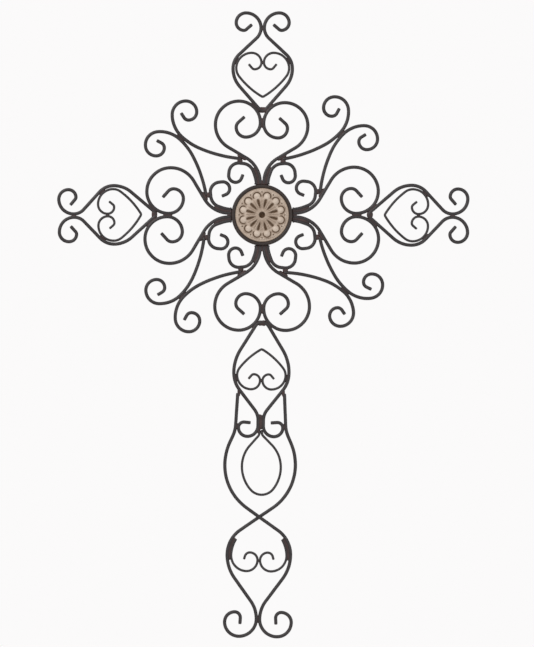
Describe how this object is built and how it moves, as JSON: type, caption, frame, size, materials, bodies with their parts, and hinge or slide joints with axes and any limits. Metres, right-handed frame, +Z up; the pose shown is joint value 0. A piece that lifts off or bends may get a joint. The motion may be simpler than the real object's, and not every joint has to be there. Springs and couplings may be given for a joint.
{
  "type": "wrought iron cross",
  "caption": "Wall cross of scrolled wrought iron rod: heart-shaped frames on the arms, a long looped foot and a carved cream rosette in a round cup at the crossing.",
  "frame": {"origin": "middle of the flat back of the round cup, on the wall", "axes": "+X to the right of someone who looks at the front, +Y into the wall, +Z up along the cross; the front faces -Y"},
  "size_m": [0.6011, 0.0136, 0.9143],
  "materials": {
    "wrought_iron": "dark brown-black paint, satin, slightly uneven over bent rod",
    "antiqued_cream": "cast and painted cream, with a brown wash left in the carving"
  },
  "bodies": {
    "root": {"bottom_bud_left": "wrought_iron", "bottom_bud_right": "wrought_iron", "bottom_corner_left": "wrought_iron", "bottom_corner_right": "wrought_iron", "bottom_frame": "wrought_iron", "bottom_heart": "wrought_iron", "bottom_petal_left": "wrought_iron", "bottom_petal_right": "wrought_iron", "brow_scroll_left": "wrought_iron", "brow_scroll_right": "wrought_iron", "drop_loop": "wrought_iron", "foot_side_rod_left": "wrought_iron", "foot_side_rod_right": "wrought_iron", "left_bud_lower": "wrought_iron", "left_bud_upper": "wrought_iron", "left_corner_lower": "wrought_iron", "left_corner_upper": "wrought_iron", "left_frame": "wrought_iron", "left_heart": "wrought_iron", "left_petal_lower": "wrought_iron", "left_petal_upper": "wrought_iron", "medallion_cup": "wrought_iron", "right_bud_lower": "wrought_iron", "right_bud_upper": "wrought_iron", "right_corner_lower": "wrought_iron", "right_corner_upper": "wrought_iron", "right_frame": "wrought_iron", "right_heart": "wrought_iron", "right_petal_lower": "wrought_iron", "right_petal_upper": "wrought_iron", "rosette": "antiqued_cream", "top_bud_left": "wrought_iron", "top_bud_right": "wrought_iron", "top_corner_left": "wrought_iron", "top_corner_right": "wrought_iron", "top_frame": "wrought_iron", "top_heart": "wrought_iron", "top_petal_left": "wrought_iron", "top_petal_right": "wrought_iron"}
  },
  "joints": []
}
